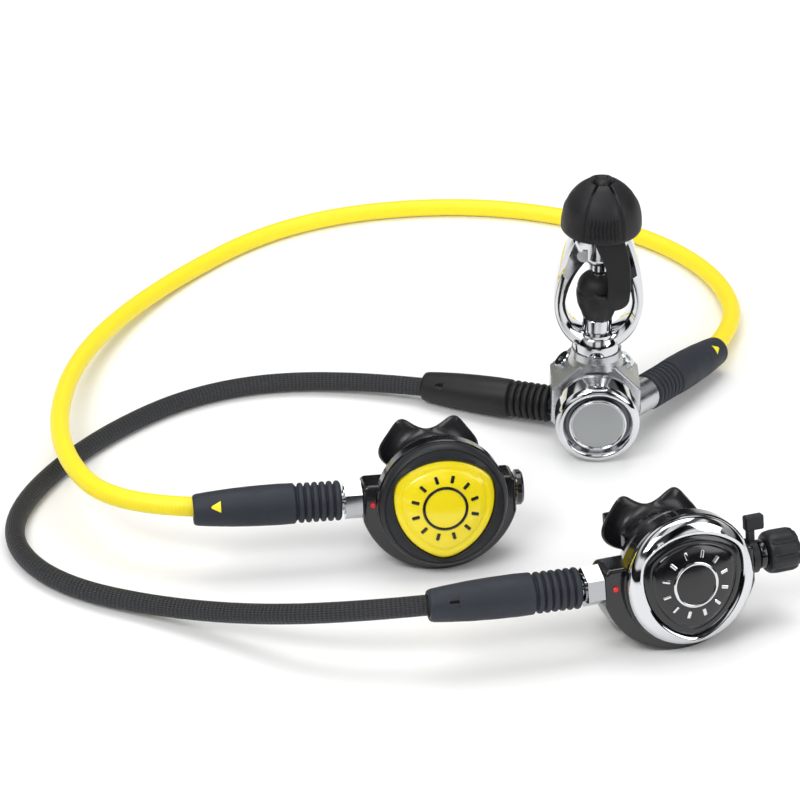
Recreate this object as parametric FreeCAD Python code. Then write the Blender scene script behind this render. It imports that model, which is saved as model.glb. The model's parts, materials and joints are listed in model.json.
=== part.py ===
import FreeCAD, Part
import math
import os

# Scuba regulator set: a yoke first stage, a primary second stage on a black hose and an
# octopus second stage on a yellow hose. Millimetres, +Z up, -Y towards the viewer.
# The origin is the centre line of the first stage neck, on the flat foot under its body.

V = FreeCAD.Vector
X_AXIS = V(1, 0, 0)
Y_AXIS = V(0, 1, 0)
Z_AXIS = V(0, 0, 1)

# ---- driving dimensions ----
GAP = 0.05                      # play between fixed pieces that fit in each other
RUN = 0.1                       # play between sliding pieces

# first stage
BODY_FLATS = 50.0               # octagonal body, across flats
BODY_FRONT = -13.0
BODY_BACK = 17.0
BODY_Z = BODY_FLATS / 2         # height of the body's axis, which lies along Y
NECK_R = 14.0
NECK_TOP = 56.5
CAP_R = 23.7
CAP_FRONT = -35.3
SEAM_Y = -18.6
SPRING_BORE_R = 17.0
CAP_MOUTH_R = 16.2
DIAPHRAGM_R = 19.0
REAR_PLUG_R = 13.0
YOKE_WIDTH = 50.0
YOKE_WINDOW = 37.0
YOKE_DEPTH = 16.0
YOKE_FLOOR = 66.5               # top of the yoke's bottom bar
YOKE_WIDEST = 88.0
WINDOW_TOP = 117.0
YOKE_TOP = 131.0
SEAT_TOP = 77.0                 # the inlet face that the cylinder valve seals on
SCREW_R = 6.0
DUST_CAP_TOP = 104.0
KNOB_R = 22.4
KNOB_RIM = 132.0
KNOB_TOP = 162.0

# hoses and their fittings
HOSE_R = 5.35
PROTECTOR_LENGTH = 78.5
PROTECTOR_R = 11.1
PROTECTOR_MOUTH_R = 7.7
TAIL_R = 6.6                    # crimped ferrule that grips the hose, inside the protector
TAIL_LENGTH = 36.0
STRAIGHT = 80.0                 # first and last run of each hose, half of it in the protector

# second stages, in their own frame: X to the right, Y to the back, Z up, origin on the
# axis of the cover where the cover ring meets the case
RING_R = 34.3
CASE_R = 35.0
CASE_DEPTH = 28.0
CASE_WALL = 2.3
PANEL_R = 29.3                  # corner radius of the three-sided purge cover
PANEL_BOW = 0.864               # middle of a panel side, as a part of the corner radius
PANEL_FRONT = -10.0
BARREL_Y = 13.0
BARREL_Z = 1.0
BARREL_BORE = 4.5
BARREL_R = 5.5
CHIN_Z = -39.0
CHIN_FRONT = 3.0
CHIN_BACK = 23.0
BOSS_TOP = 11.0                 # flat top of the two bosses beside the cover
MOUTH_Z = 13.0
PIN_Z = 0.5
EXHAUST_Z = -16.5
EXHAUST_R = 9.0
NUT_FLATS = 18.6
NUT_LENGTH = 9.0
LEVER_PIVOT_X = 8.0
LEVER_PIVOT_Y = 7.4
LEVER_TIP_X = -7.0
LEVER_WIDTH = 4.0


class Stage:
    """Where a second stage stands, and how far its inlet and its right boss reach."""

    def __init__(self, name, centre, yaw, tilt, reach, right, hose_yaw):
        self.name = name
        self.reach = reach
        self.right = right
        turn = FreeCAD.Rotation(Z_AXIS, yaw).multiply(FreeCAD.Rotation(X_AXIS, -tilt))
        self.placement = FreeCAD.Placement(centre, turn)
        angle = math.radians(hose_yaw)
        self.hose_way = V(-math.cos(angle), -math.sin(angle), 0)

    def point(self, x, y, z):
        return self.placement.multVec(V(x, y, z))

    def joint_centre(self):
        """The hose end's swivel, just outside the coupling nut."""
        return self.point(-self.reach - NUT_LENGTH - 0.8, BARREL_Y, BARREL_Z)


PRIMARY = Stage("primary", V(36.4, -205.0, 38.5), 18.0, 14.0, 44.0, 38.0, 12.0)
OCTOPUS = Stage("octopus", V(-87.8, -133.9, 38.5), 8.0, 13.0, 42.0, 40.0, 7.0)


def unit(x, y, z):
    way = V(x, y, z)
    return way.normalize()


class Port:
    """Low pressure port: its axis starts inside the body, and its hose's protector starts
    at the distance sleeve along it. The spot face is where the hose end's hexagon seats."""

    def __init__(self, origin, way, sleeve, hexagon_length):
        self.origin = origin
        self.way = way
        self.sleeve = sleeve
        self.spot = sleeve - hexagon_length

    def point(self, distance):
        return self.origin + self.way * distance


PRIMARY_PORT = Port(V(0, -2.0, 16.2), unit(-0.925, 0.367, -0.068), 25.5, 4.0)
OCTOPUS_PORT = Port(V(15.4, -9.7, 23.0), unit(0.592, 0.799, -0.106), 25.0, 1.6)


def along(start, way, distance):
    return start + way * distance


# ---- hose routes, fitting to fitting ----
def primary_route():
    inlet = PRIMARY.joint_centre()
    return [
        PRIMARY_PORT.point(PRIMARY_PORT.sleeve + TAIL_LENGTH),
        PRIMARY_PORT.point(PRIMARY_PORT.sleeve + TAIL_LENGTH + STRAIGHT),
        V(-222, 42, HOSE_R),
        V(-290, -22, HOSE_R),
        V(-327, -103, HOSE_R),
        V(-298, -160, HOSE_R),
        V(-219, -192, 8),
        along(inlet, PRIMARY.hose_way, TAIL_LENGTH + STRAIGHT),
        along(inlet, PRIMARY.hose_way, TAIL_LENGTH),
    ]


def octopus_route():
    inlet = OCTOPUS.joint_centre()
    return [
        OCTOPUS_PORT.point(OCTOPUS_PORT.sleeve + TAIL_LENGTH),
        OCTOPUS_PORT.point(OCTOPUS_PORT.sleeve + TAIL_LENGTH + STRAIGHT - 10),
        V(88, 180, HOSE_R),
        V(32, 243, HOSE_R),
        V(-68, 276, HOSE_R),
        V(-182, 251, HOSE_R),
        V(-262, 160, HOSE_R),
        V(-303, 52, 17),
        V(-301, -68, 31),
        along(inlet, OCTOPUS.hose_way, TAIL_LENGTH + STRAIGHT),
        along(inlet, OCTOPUS.hose_way, TAIL_LENGTH),
    ]


# ---- shape helpers ----
def turned(profile, base, way):
    """Solid of revolution: profile is (radius, distance along way) from base."""
    points = [V(r, 0, s) for r, s in profile]
    face = Part.Face(Part.makePolygon(points + [points[0]]))
    solid = face.revolve(V(0, 0, 0), Z_AXIS, 360)
    solid.Placement = FreeCAD.Placement(base, FreeCAD.Rotation(Z_AXIS, way))
    return solid


def rod(radius, base, way, length):
    return Part.makeCylinder(radius, length, base, way)


def pipe(outer, inner, base, way, length):
    return rod(outer, base, way, length).cut(rod(inner, base, way, length))


def hexagon(flats, base, way, length):
    """Hexagonal prism along way, flats is the size across its flats."""
    radius = flats / math.sqrt(3)
    points = [V(radius * math.cos(a), radius * math.sin(a), 0)
              for a in [math.radians(60 * i) for i in range(6)]]
    prism = Part.Face(Part.makePolygon(points + [points[0]])).extrude(V(0, 0, length))
    prism.Placement = FreeCAD.Placement(base, FreeCAD.Rotation(Z_AXIS, way))
    return prism


def coil(radius, wire_radius, turns, base, way, length):
    """Open helical spring between two planes."""
    rise = length - 2 * wire_radius
    path = Part.makeHelix(rise / turns, rise, radius)
    ring = Part.Wire(Part.makeCircle(wire_radius, V(radius, 0, 0), Y_AXIS))
    spring = Part.Wire(path).makePipeShell([ring], True, True)
    spring.Placement = FreeCAD.Placement(base + way * wire_radius,
                                         FreeCAD.Rotation(Z_AXIS, way))
    return spring


def prism_y(wire, front, back):
    """Extrude a wire drawn in the XZ plane from y = front to y = back."""
    face = Part.Face(wire)
    face.translate(V(0, front, 0))
    return face.extrude(V(0, back - front, 0))


def oval_y(width, height, z, front, back):
    ellipse = Part.Ellipse(V(0, 0, z), width / 2, height / 2)
    ellipse.Axis = V(0, -1, 0)
    return prism_y(Part.Wire(ellipse.toShape()), front, back)


def arc(a, b, c):
    return Part.Arc(a, b, c).toShape()


def line(a, b):
    return Part.LineSegment(a, b).toShape()


def rounded(shape, radius, choose):
    """Fillet the edges that choose picks."""
    edges = [edge for edge in shape.Edges if choose(edge)]
    return shape.makeFillet(radius, edges)


# ---- first stage ----
def first_stage_body():
    radius = BODY_FLATS / 2 / math.cos(math.pi / 8)
    corners = []
    for i in range(8):
        angle = math.radians(45 * i + 22.5)
        corners.append(V(radius * math.cos(angle), 0, BODY_Z + radius * math.sin(angle)))
    block = prism_y(Part.makePolygon(corners + [corners[0]]), BODY_FRONT, BODY_BACK)
    block = rounded(block, 1.2, lambda e: e.BoundBox.YLength < 0.1)
    body = block.fuse(rod(NECK_R, V(0, 0, BODY_Z), Z_AXIS, NECK_TOP - BODY_Z))
    body = body.fuse(neck_collar())
    body = body.cut(rod(CAP_R + GAP, V(0, BODY_FRONT, BODY_Z), -Y_AXIS, 8))
    for port in (PRIMARY_PORT, OCTOPUS_PORT):
        body = body.fuse(rod(9.8, port.point(4), port.way, port.spot - 4))
        body = body.cut(rod(PROTECTOR_R + 0.7, port.point(port.spot), port.way, 14))
    axis = V(0, 0, BODY_Z)
    chamber = turned([(0, -0.5), (DIAPHRAGM_R + GAP, -0.5), (DIAPHRAGM_R + GAP, 2), (15, 2),
                      (15, 6), (2.0, 6), (2.0, 12), (8, 12), (8, 31), (0, 31)],
                     V(0, BODY_FRONT, BODY_Z), Y_AXIS)
    body = body.cut(chamber)
    body = body.cut(rod(8.6, V(0, 0, NECK_TOP - 9), Z_AXIS, 10))
    body = body.cut(rod(3.0, axis + V(0, 4, 0), Z_AXIS, NECK_TOP - BODY_Z))
    for port in (PRIMARY_PORT, OCTOPUS_PORT):
        body = body.cut(rod(4.5 + GAP, port.point(port.spot - 8), port.way, 9))
        side = math.copysign(11.0, port.way.x)
        inner = V(side, BODY_FRONT + 4, BODY_Z - 5)
        drilling = port.point(port.spot - 7.5) - inner
        body = body.cut(rod(2.2, inner, drilling, drilling.Length))
    for base, way in plug_seats():
        body = body.cut(rod(4.2, base - way * 6, way, 8))
    return body


def neck_collar():
    """Sloping step where the neck meets the body."""
    return turned([(0, 0), (NECK_R + 1.6, 0), (NECK_R, 4), (0, 4)],
                  V(0, 0, BODY_FLATS - 2), Z_AXIS)


def plug_seats():
    """Blind ports on the two upper slanted flats of the body."""
    seats = []
    for side in (-1, 1):
        way = V(side * math.sqrt(0.5), 0, math.sqrt(0.5))
        seats.append((V(0, 9, BODY_Z) + way * (BODY_FLATS / 2), way))
    return seats


def port_plugs():
    plugs = []
    for base, way in plug_seats():
        plug = rod(4.15, base - way * 5, way, 6).fuse(turned(
            [(0, 0.05), (5.4, 0.05), (5.4, 1.4), (4.9, 1.9), (0, 1.9)], base, way))
        plugs.append(plug.cut(hexagon(4.0, base + way * 0.4, way, 3)))
    return Part.makeCompound(plugs)


def spring_cap():
    depth = BODY_FRONT - CAP_FRONT
    seam = BODY_FRONT - SEAM_Y
    outer = [(0, 0), (CAP_R - 0.7, 0), (CAP_R - 0.7, seam - 0.6), (CAP_R - 1.6, seam),
             (CAP_R, seam + 0.8), (CAP_R, depth - 2.0), (CAP_R - 0.6, depth - 0.6),
             (CAP_R - 2.2, depth), (CAP_R - 3.6, depth - 0.4), (CAP_R - 4.4, depth - 2.4),
             (CAP_MOUTH_R, depth - 2.4), (CAP_MOUTH_R, depth - 5), (SPRING_BORE_R, depth - 5)]
    inner = [(SPRING_BORE_R, 0)]
    return turned(outer[1:] + inner, V(0, BODY_FRONT, BODY_Z), -Y_AXIS)


def cap_disc():
    return turned([(0, 0), (CAP_MOUTH_R - GAP, 0), (CAP_MOUTH_R - GAP, 3.4),
                   (CAP_MOUTH_R - 0.8, 4.0), (14.2, 4.0), (13.6, 3.3), (0, 3.3)],
                  V(0, CAP_FRONT + 4.6, BODY_Z), -Y_AXIS)


def adjusting_ring():
    ring = pipe(SPRING_BORE_R - GAP, 7.0, V(0, CAP_FRONT + 9.0, BODY_Z), -Y_AXIS, 3.6)
    return ring.cut(Part.makeBox(36, 2.0, 4.0, V(-18, CAP_FRONT + 5.0, BODY_Z - 2)))


def main_spring():
    front = CAP_FRONT + 9.2
    return coil(12.6, 1.1, 3.0, V(0, front, BODY_Z), Y_AXIS, BODY_FRONT - 1.7 - front)


def spring_pad():
    return turned([(0, 0), (15.0, 0), (15.0, 1.4), (10.4, 1.4), (9.6, 2.6), (0, 2.6)],
                  V(0, BODY_FRONT, BODY_Z), -Y_AXIS)


def pressure_diaphragm():
    return turned([(0, 0.05), (DIAPHRAGM_R, 0.05), (DIAPHRAGM_R, 1.9), (0, 1.9)],
                  V(0, BODY_FRONT, BODY_Z), Y_AXIS)


def valve_pin():
    return turned([(0, 2.0), (9.0, 2.0), (9.0, 3.2), (1.6, 3.2), (1.6, 12.4), (0, 12.4)],
                  V(0, BODY_FRONT, BODY_Z), Y_AXIS)


def high_pressure_valve():
    return turned([(0, 12.5), (4.6, 12.5), (4.6, 15.0), (2.0, 15.8), (2.0, 24), (0, 24)],
                  V(0, BODY_FRONT, BODY_Z), Y_AXIS)


def balance_spring():
    return coil(3.4, 0.5, 4.0, V(0, BODY_FRONT + 16.0, BODY_Z), Y_AXIS, 5.0)


def rear_plug():
    plug = turned([(0, 21.2), (7.9, 21.2), (7.9, 30), (REAR_PLUG_R, 30), (REAR_PLUG_R, 33.6),
                   (REAR_PLUG_R - 1.4, 35), (0, 35)], V(0, BODY_FRONT, BODY_Z), Y_AXIS)
    plug = plug.cut(rod(2.0 + RUN, V(0, BODY_FRONT + 21, BODY_Z), Y_AXIS, 6))
    return plug.cut(hexagon(6.0, V(0, BODY_FRONT + 32, BODY_Z), Y_AXIS, 4))


def inlet_filter():
    return turned([(0, 0), (4.4, 0), (3.4, 6.0), (0, 6.0)], V(0, 0, SEAT_TOP - 9), Z_AXIS)


def yoke_retainer():
    base = NECK_TOP - 8.5
    top = SEAT_TOP - base
    collar = YOKE_FLOOR - base
    nut = turned([(0, 0), (8.5, 0), (8.5, collar), (10.6, collar), (10.6, collar + 1.6),
                  (8.2, collar + 2.4), (8.2, top - 0.8), (7.4, top), (0, top)],
                 V(0, 0, base), Z_AXIS)
    bore = turned([(0, -1), (4.5, -1), (4.5, top - 2.6), (3.0, top - 2.6), (3.0, top + 1),
                   (0, top + 1)], V(0, 0, base), Z_AXIS)
    return nut.cut(bore)


def yoke_outline(half, floor, top_half, top):
    """Egg-shaped loop: an oval bottom, tapering sides and a flat or pointed top."""
    left = V(-half, 0, YOKE_WIDEST)
    right = V(half, 0, YOKE_WIDEST)
    top_left = V(-top_half, 0, top)
    top_right = V(top_half, 0, top)
    middle = (YOKE_WIDEST + top) / 2
    shoulder = top_half + (half - top_half) * 0.72
    oval = Part.Ellipse(V(0, 0, floor), right, V(0, 0, YOKE_WIDEST))
    bottom = Part.ArcOfEllipse(oval, -math.pi / 2, math.pi / 2).toShape()
    return Part.Wire([
        bottom,
        arc(right, V(shoulder, 0, middle), top_right),
        line(top_right, top_left),
        arc(top_left, V(-shoulder, 0, middle), left),
    ])


def yoke():
    half_depth = YOKE_DEPTH / 2
    loop = prism_y(yoke_outline(YOKE_WIDTH / 2, NECK_TOP, 14.5, YOKE_TOP),
                   -half_depth, half_depth)
    window = prism_y(yoke_outline(YOKE_WINDOW / 2, YOKE_FLOOR, 5.0, WINDOW_TOP),
                     -half_depth - 1, half_depth + 1)
    loop = loop.cut(window)
    loop = rounded(loop, 2.6, lambda e: e.BoundBox.YLength < 0.01 and e.Length > 12)
    seat = rod(NECK_R - 0.4, V(0, 0, NECK_TOP), Z_AXIS, YOKE_FLOOR - NECK_TOP)
    boss = turned([(0, 0), (9.4, 0), (11.2, 3), (11.2, YOKE_TOP - WINDOW_TOP + 4.4),
                   (10.2, YOKE_TOP - WINDOW_TOP + 5.4), (0, YOKE_TOP - WINDOW_TOP + 5.4)],
                  V(0, 0, WINDOW_TOP - 4), Z_AXIS)
    loop = loop.fuse(seat).fuse(boss)
    loop = loop.cut(rod(8.6, V(0, 0, NECK_TOP - 1), Z_AXIS, 12))
    loop = loop.cut(rod(11.0, V(0, 0, YOKE_FLOOR), Z_AXIS, 8))
    return loop.cut(rod(SCREW_R + RUN, V(0, 0, WINDOW_TOP - 6), Z_AXIS, 30))


def screw_pad():
    return turned([(0, 0), (3.4, 0), (4.4, 1.2), (4.4, 2.2), (0, 2.2)],
                  V(0, 0, DUST_CAP_TOP - 1.4), Z_AXIS)


def yoke_screw():
    base = DUST_CAP_TOP + 0.85
    head = KNOB_TOP - 8 - base
    return turned([(0, 0), (4.4, 0), (SCREW_R, 2.4), (SCREW_R, head - 1), (5.0, head), (0, head)],
                  V(0, 0, base), Z_AXIS)


def yoke_knob():
    height = KNOB_TOP - KNOB_RIM
    bell = turned([(0, 0), (KNOB_R - 1.2, 0), (KNOB_R, 3.2), (KNOB_R - 0.2, 8.5),
                   (KNOB_R - 2.0, 14.5), (KNOB_R - 5.6, 21.0), (KNOB_R - 11.0, 26.0),
                   (7.2, 27.8), (6.0, 29.2), (0, height)], V(0, 0, KNOB_RIM), Z_AXIS)
    for i in range(6):
        angle = math.radians(60 * i + 30)
        way = V(math.cos(angle), math.sin(angle), 0)
        groove = rod(1.8, V(0, 0, KNOB_RIM + 29) + way * 10.5, unit(way.x, way.y, -1.62), 27)
        bell = bell.cut(groove)
    hollow = turned([(0, -1), (KNOB_R - 2.7, -1), (KNOB_R - 2.9, 3.5), (17.2, 7.0), (0, 7.0)],
                    V(0, 0, KNOB_RIM), Z_AXIS)
    bell = bell.cut(hollow)
    return bell.cut(rod(SCREW_R + GAP, V(0, 0, KNOB_RIM), Z_AXIS, KNOB_TOP - 7.9 - KNOB_RIM))


def dust_cap():
    height = DUST_CAP_TOP - SEAT_TOP
    cap = turned([(0, 0.1), (8.8, 0.1), (9.8, 3), (11.8, 8), (12.5, 14), (11.9, 19),
                  (10.2, 23.4), (7.4, 26), (5.4, height), (0, height)], V(0, 0, SEAT_TOP), Z_AXIS)
    dimple = turned([(0, -1.5), (3.6, -1.5), (5.0, 0.1), (0, 0.1)], V(0, 0, DUST_CAP_TOP), Z_AXIS)
    return cap.cut(dimple)


def dust_cap_strap():
    """Rubber band from the cap's front, forward and up to an eye round the screw."""
    thick = 2.0
    left = 1.0
    eye_z = YOKE_TOP + 3.2
    front = -15.0
    low = KNOB_RIM - 10
    foot = DUST_CAP_TOP - 12.4
    hanger = [V(left, -7.6, eye_z + thick), V(left, front + 1.6, eye_z + thick),
              V(left, front, eye_z + 0.4), V(left, front, low), V(left, front + thick, low),
              V(left, front + thick, eye_z), V(left, -7.6, eye_z)]
    drop = [V(left, front, low + 2), V(left, front, foot + 3.9), V(left, front + 0.8, foot + 1.0),
            V(left, -12.8, foot), V(left, -12.8, foot + 2.2), V(left, front + thick, foot + 4.4),
            V(left, front + thick, low + 2)]
    band = Part.Face(Part.makePolygon(hanger + [hanger[0]])).extrude(V(10, 0, 0))
    band = band.fuse(Part.Face(Part.makePolygon(drop + [drop[0]])).extrude(V(15, 0, 0)))
    eye = pipe(10.0, SCREW_R + 0.4, V(0, 0, eye_z), Z_AXIS, thick)
    return band.fuse(eye).removeSplitter()


# ---- hoses ----
def hose(route, name):
    """Tube of straight runs joined by tangent arcs, as large as the runs allow."""
    runs = [(b - a).Length for a, b in zip(route, route[1:])]
    edges = []
    radii = []
    last = route[0]
    for i in range(1, len(route) - 1):
        back = (route[i - 1] - route[i]).normalize()
        ahead = (route[i + 1] - route[i]).normalize()
        half_turn = (math.pi - back.getAngle(ahead)) / 2
        trim = 0.45 * min(runs[i - 1], runs[i])
        radius = trim / math.tan(half_turn)
        radii.append(radius)
        start = route[i] + back * trim
        end = route[i] + ahead * trim
        middle_way = (back + ahead).normalize()
        middle = route[i] + middle_way * (radius / math.cos(half_turn) - radius)
        edges.append(line(last, start))
        edges.append(arc(start, middle, end))
        last = end
    edges.append(line(last, route[-1]))
    path = Part.Wire(edges)
    section = Part.Wire(Part.makeCircle(HOSE_R, route[0], (route[1] - route[0]).normalize()))
    tube = path.makePipeShell([section], True, False)
    expected = math.pi * HOSE_R ** 2 * path.Length
    print(name, "length %.0f" % path.Length, "runs", [round(r) for r in runs])
    print("  radii", [round(r) for r in radii], "volume ratio %.4f" % (tube.Volume / expected))
    return tube


def protector(base, way):
    """Rubber sleeve over the crimp: ribbed at the fitting, slim at the hose."""
    bend = PROTECTOR_LENGTH * 0.5
    profile = [(TAIL_R + 0.1, 0), (PROTECTOR_R - 1.2, 0)]
    for i in range(5):
        s = 0.8 + i * 4.2
        profile += [(PROTECTOR_R, s), (PROTECTOR_R, s + 2.4), (PROTECTOR_R - 1.3, s + 3.0),
                    (PROTECTOR_R - 1.3, s + 3.6)]
    profile += [(PROTECTOR_R, 22.4), (PROTECTOR_R, bend),
                (PROTECTOR_MOUTH_R, PROTECTOR_LENGTH - 1),
                (PROTECTOR_MOUTH_R - 0.8, PROTECTOR_LENGTH),
                (HOSE_R + RUN, PROTECTOR_LENGTH), (HOSE_R + RUN, TAIL_LENGTH + 0.6),
                (TAIL_R + 0.1, TAIL_LENGTH + 0.6)]
    sleeve = turned(profile, base, way)
    up = unit(0, -0.55, 0.83)
    side = way.cross(up).normalize()
    up = side.cross(way).normalize()
    tip = base + way * (PROTECTOR_LENGTH - 7)
    foot = base + way * (PROTECTOR_LENGTH - 15)
    window = Part.Face(Part.makePolygon([tip, foot + side * 4.2, foot - side * 4.2, tip]))
    return sleeve.cut(window.extrude(up * 20))


def hose_inlet_end(port):
    """Male fitting in a first stage port: thread, hexagon, then the crimped ferrule."""
    thread = rod(4.5, port.point(port.spot - 7), port.way, 8)
    nut = hexagon(15.0, port.point(port.spot + GAP), port.way, port.sleeve - port.spot - 0.4)
    tail = rod(TAIL_R, port.point(port.sleeve - 0.6), port.way, TAIL_LENGTH + 0.6)
    return thread.fuse(nut).fuse(tail)


def hose_outlet_end(stage):
    """Swivel end inside a coupling nut, with the crimped ferrule behind it."""
    centre = stage.joint_centre()
    barrel_way = stage.placement.Rotation.multVec(V(1, 0, 0))
    shank = rod(4.0, centre, barrel_way, 5.5)
    ball = Part.makeSphere(5.0, centre)
    tail = rod(TAIL_R, centre + stage.hose_way * 2.2, stage.hose_way, TAIL_LENGTH - 2.2)
    return shank.fuse(ball).fuse(tail)


# ---- second stages ----
def three_sided(radius, front, back, corner):
    """Prism with three bowed sides, one corner pointing down."""
    corners = [V(radius * math.cos(a), 0, radius * math.sin(a))
               for a in [math.radians(-90 + 120 * i) for i in range(3)]]
    edges = []
    for i in range(3):
        a = corners[i]
        b = corners[(i + 1) % 3]
        out = (a + b).normalize()
        edges.append(arc(a, out * (PANEL_BOW * radius), b))
    prism = prism_y(Part.Wire(edges), front, back)
    return rounded(prism, corner, lambda e: e.BoundBox.YLength > abs(back - front) - 0.01)


def turned_y(profile):
    """Revolve (radius, y) points about the cover's axis."""
    return turned(profile, V(0, 0, 0), Y_AXIS)


def barrel_point(x):
    return V(x, BARREL_Y, BARREL_Z)


def wing_outline(stage):
    """Lower outline of the case: the two bosses joined by the chin."""
    left = -stage.reach
    right = stage.right
    return Part.Wire([
        line(V(left, 0, BOSS_TOP), V(left, 0, -9)),
        arc(V(left, 0, -9), V(0, 0, CHIN_Z), V(right, 0, -9)),
        line(V(right, 0, -9), V(right, 0, BOSS_TOP)),
        line(V(right, 0, BOSS_TOP), V(left, 0, BOSS_TOP)),
    ])


def case(stage):
    shell = turned_y([(0, 0), (CASE_R - 0.5, 0), (CASE_R, 0.6), (CASE_R, 8), (33.5, 13),
                      (27.5, CASE_DEPTH), (0, CASE_DEPTH)])
    wing = prism_y(wing_outline(stage), CHIN_FRONT, CHIN_BACK)
    wing = rounded(wing, 3.5, lambda e: e.BoundBox.YLength > CHIN_BACK - CHIN_FRONT - 0.01)
    wing = rounded(wing, 2.0, lambda e: e.BoundBox.YLength < 0.01)
    shell = shell.fuse(wing)
    shell = shell.fuse(oval_y(29, 18, MOUTH_Z, CASE_DEPTH - 2, CASE_DEPTH + 11))
    inside = CASE_R - CASE_WALL
    cavity = turned_y([(0, -1), (inside, -1), (inside, 5.3), (30.4, 5.3), (30.4, 7.0),
                       (inside - 0.2, 7.0), (31.2, 12.6), (25.6, CASE_DEPTH - CASE_WALL),
                       (0, CASE_DEPTH - CASE_WALL)])
    shell = shell.cut(cavity)
    shell = shell.cut(oval_y(25, 14, MOUTH_Z, CASE_DEPTH - 4, CASE_DEPTH + 12))
    shell = shell.cut(rod(6.5 + GAP, barrel_point(-60), X_AXIS, 120))
    port = rod(EXHAUST_R, V(0, CASE_DEPTH - 4, EXHAUST_Z), Y_AXIS, 5)
    hub = rod(2.6, V(0, CASE_DEPTH - CASE_WALL, EXHAUST_Z), Y_AXIS, CASE_WALL)
    spokes = [Part.makeBox(2 * EXHAUST_R + 1, CASE_WALL, 1.6,
                           V(-EXHAUST_R - 0.5, CASE_DEPTH - CASE_WALL, EXHAUST_Z - 0.8)),
              Part.makeBox(1.6, CASE_WALL, 2 * EXHAUST_R + 1,
                           V(-0.8, CASE_DEPTH - CASE_WALL, EXHAUST_Z - EXHAUST_R - 0.5))]
    shell = shell.cut(port).fuse(hub).fuse(spokes[0]).fuse(spokes[1])
    shell = shell.cut(rod(1.3, V(0, CASE_DEPTH - 4, EXHAUST_Z), Y_AXIS, 6))
    shell = shell.cut(rod(1.5 + GAP, pin_point(stage), Y_AXIS, 4.1))
    return shell


def pin_point(stage):
    return V(-stage.reach + 5.2, CHIN_FRONT - 1, PIN_Z)


def lock_pin(stage):
    base = pin_point(stage)
    return turned([(0, 0), (1.1, 0), (1.5, 0.4), (1.5, 3.9), (0, 3.9)], base, Y_AXIS)


def cover_ring(stage):
    inside = CASE_R - CASE_WALL - GAP
    ring = turned_y([(19, -7.4), (29.5, -7.2), (33.4, -5.2), (RING_R, -2.6), (RING_R, -0.05),
                     (inside, -0.05), (inside, 4.0), (31.2, 4.0), (31.2, -3.4), (30.6, -4.6),
                     (19, -5.0)])
    return ring.cut(three_sided(PANEL_R + 0.4, -9, -3, 4.0))


def purge_cover(stage):
    panel = three_sided(PANEL_R, -12, -3.8, 3.8)
    bow = 107.0
    dome = Part.makeSphere(bow, V(0, PANEL_FRONT + bow, 0))
    flange = rod(30.4, V(0, -4.3, 0), Y_AXIS, 1.3)
    hollow = pipe(19.5, 3.0, V(0, -7.4, 0), Y_AXIS, 6.0)
    post = rod(3.0, V(0, -5, 0), Y_AXIS, 8.0)
    return panel.common(dome).fuse(flange).cut(hollow).fuse(post)


def diaphragm(stage):
    rim = CASE_R - CASE_WALL - 0.1
    return turned_y([(0, 3.1), (11, 3.1), (12, 4.2), (24, 4.2), (26, 5.6), (28, 4.3), (rim, 4.1),
                     (rim, 5.1), (28.3, 5.3), (26, 6.8), (23.7, 5.2), (11.6, 5.2), (10.6, 4.1),
                     (0, 4.1)])


def demand_lever(stage):
    """Bent strip: an arm that the diaphragm presses and a leg that pulls the poppet."""
    pivot = LEVER_PIVOT_X
    outline = [V(LEVER_TIP_X, 4.4, 0), V(LEVER_TIP_X, 5.4, 0), V(pivot - 0.6, 7.2, 0),
               V(pivot - 0.6, BARREL_Y - 2.5, 0), V(pivot + 0.6, BARREL_Y - 2.5, 0),
               V(pivot + 0.6, 6.2, 0), V(pivot - 2, 5.9, 0), V(LEVER_TIP_X + 3, 4.4, 0)]
    strip = Part.Face(Part.makePolygon(outline + [outline[0]]))
    strip.translate(V(0, 0, BARREL_Z - LEVER_WIDTH / 2))
    foot = rod(0.9, V(pivot, LEVER_PIVOT_Y, BARREL_Z - LEVER_WIDTH / 2), Z_AXIS, LEVER_WIDTH)
    return strip.extrude(V(0, 0, LEVER_WIDTH)).fuse(foot)


def valve_tube(stage):
    left = -stage.reach - 4
    right = stage.right + 4.6 if stage is PRIMARY else stage.right + 0.6
    tube = rod(BARREL_R, barrel_point(left), X_AXIS, right - left)
    tube = tube.fuse(rod(6.5, barrel_point(-stage.reach + 0.5), X_AXIS, 9))
    tube = tube.fuse(rod(6.5, barrel_point(stage.right - 7), X_AXIS, 7))
    tube = tube.cut(rod(BARREL_BORE, barrel_point(left - 1), X_AXIS, right - left + 2))
    slot = Part.makeBox(5.0, 6.0, 5.0, V(LEVER_PIVOT_X - 2.5, BARREL_Y - 6.5, BARREL_Z - 2.5))
    outlet = rod(2.2, barrel_point(-3), Y_AXIS, 8)
    return tube.cut(slot).cut(outlet)


def orifice(stage):
    shape = turned([(0, 0), (4.4, 0), (4.4, 12), (2.6, 13.8), (0, 13.8)], barrel_point(-24), X_AXIS)
    return shape.cut(rod(1.9, barrel_point(-25), X_AXIS, 16))


def poppet(stage):
    return turned([(0, 0), (3.4, 0), (4.3, 0.8), (4.3, 16.6), (2.0, 16.6), (2.0, 20.0), (4.3, 20.0),
                   (4.3, 21.6), (1.8, 21.6), (1.8, 26), (0, 26)], barrel_point(-10.1), X_AXIS)


def poppet_spring(stage):
    return coil(3.2, 0.45, 5.0, barrel_point(11.6), X_AXIS, 14.2)


def octopus_end_plug(stage):
    return turned([(0, 0), (4.4, 0), (4.4, stage.right - 25.2), (9.5, stage.right - 25.2),
                   (9.5, stage.right - 22.8), (8.3, stage.right - 21.6), (0, stage.right - 21.6)],
                  barrel_point(26), X_AXIS)


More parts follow.
